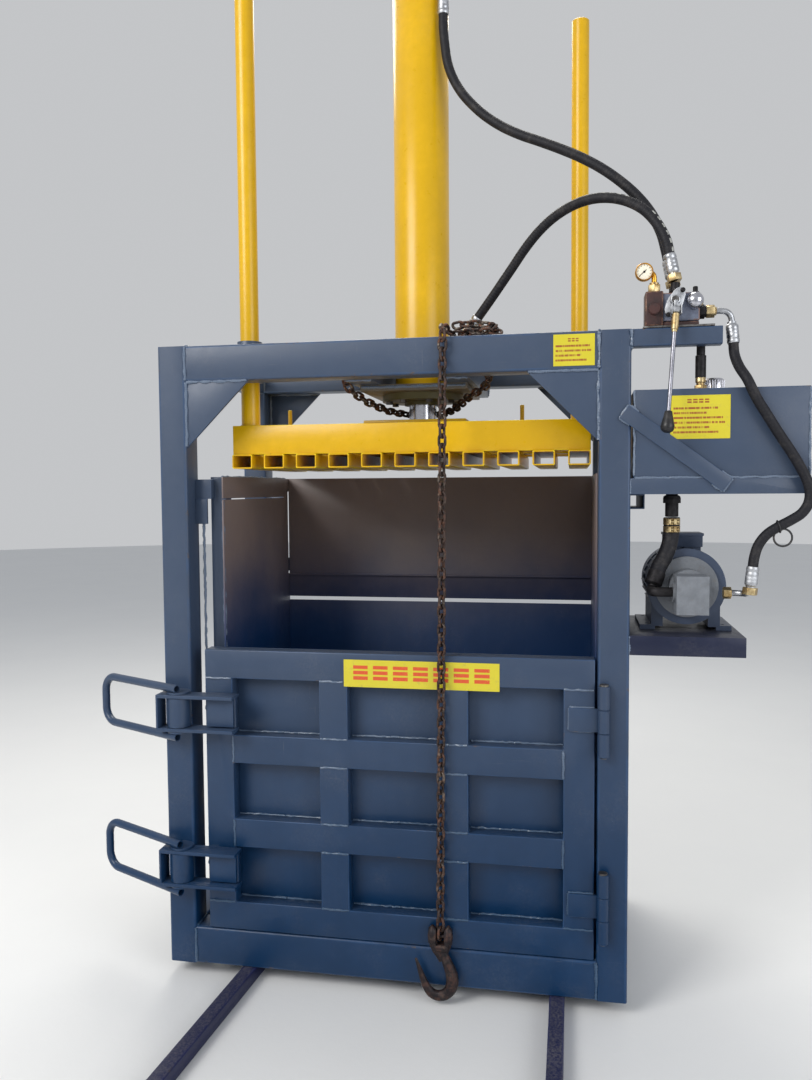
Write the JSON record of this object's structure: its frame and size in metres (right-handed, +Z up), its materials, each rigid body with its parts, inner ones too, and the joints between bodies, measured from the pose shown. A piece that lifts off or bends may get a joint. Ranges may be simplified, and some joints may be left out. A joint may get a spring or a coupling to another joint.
{
  "type": "recycling baler",
  "caption": "Vertical hydraulic baler: welded portal frame, chamber with hinged latched door, guided platen under one cylinder, side tank, pump and lever valve.",
  "frame": {"origin": "on the floor, at the middle of the machine's outline without its hoses", "axes": "+Z up, +X to the operator's right, +Y from the door to the rear"},
  "size_m": [2.1963, 1.58, 3.309],
  "materials": {
    "slate_paint": "semi-gloss slate blue paint with weld beads, scuffs and dust",
    "skid_paint": "deep ultramarine paint, dusty and scratched",
    "yellow_paint": "glossy golden yellow paint",
    "maroon_casting": "red-brown primer over cast iron",
    "zinc_steel": "zinc-plated steel, slightly worn",
    "hard_chrome": "hard chrome, oily",
    "bare_steel": "machined steel, oily",
    "hose_rubber": "black hydraulic hose cover, matt",
    "seal_rubber": "smooth black seal rubber",
    "rusty_iron": "rusty forged chain steel, rubbed bright on the outside",
    "brass_fitting": "yellow passivated brass-coloured fittings",
    "motor_paint": "dark blue-grey motor paint",
    "label_film": "thin yellow adhesive film with dark bars",
    "lever_steel": "bright plated rod with a black plastic knob"
  },
  "bodies": {
    "frame": {"skids": "skid_paint", "posts": "slate_paint", "top_beams": "slate_paint", "base_beams": "slate_paint", "gussets": "slate_paint", "crosshead": "slate_paint", "cylinder_plate": "slate_paint", "barrel": "yellow_paint", "end_cap": "yellow_paint", "head_gland": "bare_steel", "flange_bolts": "bare_steel", "chamber_floor": "slate_paint", "left_wall": "slate_paint", "right_wall": "slate_paint", "rear_wall": "slate_paint", "chamber_frame": "slate_paint", "hinge_knuckles": "slate_paint", "hinge_pins": "bare_steel", "latch_drums": "slate_paint", "tank": "slate_paint", "tank_supports": "slate_paint", "tank_fittings": "zinc_steel", "motor_shelf": "skid_paint", "motor_housing": "motor_paint", "fan_cover": "motor_paint", "terminal_box": "motor_paint", "pump_body": "bare_steel", "valve_bracket": "slate_paint", "valve_body": "maroon_casting", "valve_cover": "zinc_steel", "gauge": "brass_fitting", "frame_labels": "label_film", "upper_hose": "hose_rubber", "lower_hose": "hose_rubber", "pressure_hose": "hose_rubber", "suction_hose": "hose_rubber", "hose_fittings": "zinc_steel", "chain_hanging": "rusty_iron", "chain_rest": "rusty_iron", "hook": "rusty_iron"},
    "ram": {"piston": "bare_steel", "piston_seals": "seal_rubber", "rod": "hard_chrome", "platen_channels": "yellow_paint", "platen_tubes": "yellow_paint", "guide_tubes": "yellow_paint"},
    "door": {"door_grid": "slate_paint", "door_skin": "slate_paint", "hinge_leaves": "slate_paint", "door_catches": "slate_paint", "door_label": "label_film"},
    "upper_handle": {"upper_handle": "slate_paint"},
    "upper_loop": {"upper_loop": "slate_paint"},
    "lower_handle": {"lower_handle": "slate_paint"},
    "lower_loop": {"lower_loop": "slate_paint"},
    "valve_lever": {"valve_lever": "lever_steel"},
    "valve_spool": {"valve_spool": "bare_steel"},
    "tank_cap": {"tank_cap": "zinc_steel"},
    "motor_rotor": {"motor_rotor": "bare_steel"},
    "idler_gear": {"idler_gear": "bare_steel"}
  },
  "joints": [
    {"name": "ram_slide", "type": "slide", "parent": "frame", "child": "ram", "axis": [0, 0, -1], "range_m": [0, 1]},
    {"name": "door_hinge", "type": "hinge", "parent": "frame", "child": "door", "pos_m": [0.54228, -0.19, 0.6], "axis": [0, 0, 1], "range_deg": [0, 110]},
    {"name": "upper_handle_turn", "type": "hinge", "parent": "frame", "child": "upper_handle", "pos_m": [-0.76072, -0.208, 0.876], "axis": [0, 0, 1], "range_deg": [0, 120]},
    {"name": "upper_loop_turn", "type": "hinge", "parent": "upper_handle", "child": "upper_loop", "pos_m": [-0.76872, -0.208, 0.876], "axis": [0, 0, 1], "range_deg": [-120, 0]},
    {"name": "lower_handle_turn", "type": "hinge", "parent": "frame", "child": "lower_handle", "pos_m": [-0.76072, -0.208, 0.383], "axis": [0, 0, 1], "range_deg": [0, 120]},
    {"name": "lower_loop_turn", "type": "hinge", "parent": "lower_handle", "child": "lower_loop", "pos_m": [-0.76872, -0.208, 0.383], "axis": [0, 0, 1], "range_deg": [-120, 0]},
    {"name": "valve_lever_swing", "type": "hinge", "parent": "frame", "child": "valve_lever", "pos_m": [0.73128, -0.196, 2.059], "axis": [1, 0, 0], "range_deg": [-12, 9], "stiffness_Nm_per_rad": 6},
    {"name": "valve_spool_slide", "type": "slide", "parent": "frame", "child": "valve_spool", "axis": [0, 1, 0], "range_m": [-0.0064, 0.0064]},
    {"name": "tank_cap_turn", "type": "hinge", "parent": "frame", "child": "tank_cap", "pos_m": [0.85928, -0.02, 1.863], "axis": [0, 0, 1], "range_deg": [0, 90]},
    {"name": "motor_spin", "type": "hinge", "parent": "frame", "child": "motor_rotor", "pos_m": [0.78428, -0.07, 1.272], "axis": [0, 1, 0], "continuous": true},
    {"name": "idler_spin", "type": "hinge", "parent": "frame", "child": "idler_gear", "pos_m": [0.78428, -0.153, 1.22988], "axis": [0, 1, 0], "continuous": true}
  ],
  "couplings": [
    {"joint": "upper_loop_turn", "follows": "upper_handle_turn", "ratio": -1},
    {"joint": "lower_loop_turn", "follows": "lower_handle_turn", "ratio": -1},
    {"joint": "valve_spool_slide", "follows": "valve_lever_swing", "m_per_rad": -0.03},
    {"joint": "idler_spin", "follows": "motor_spin", "ratio": -1}
  ]
}
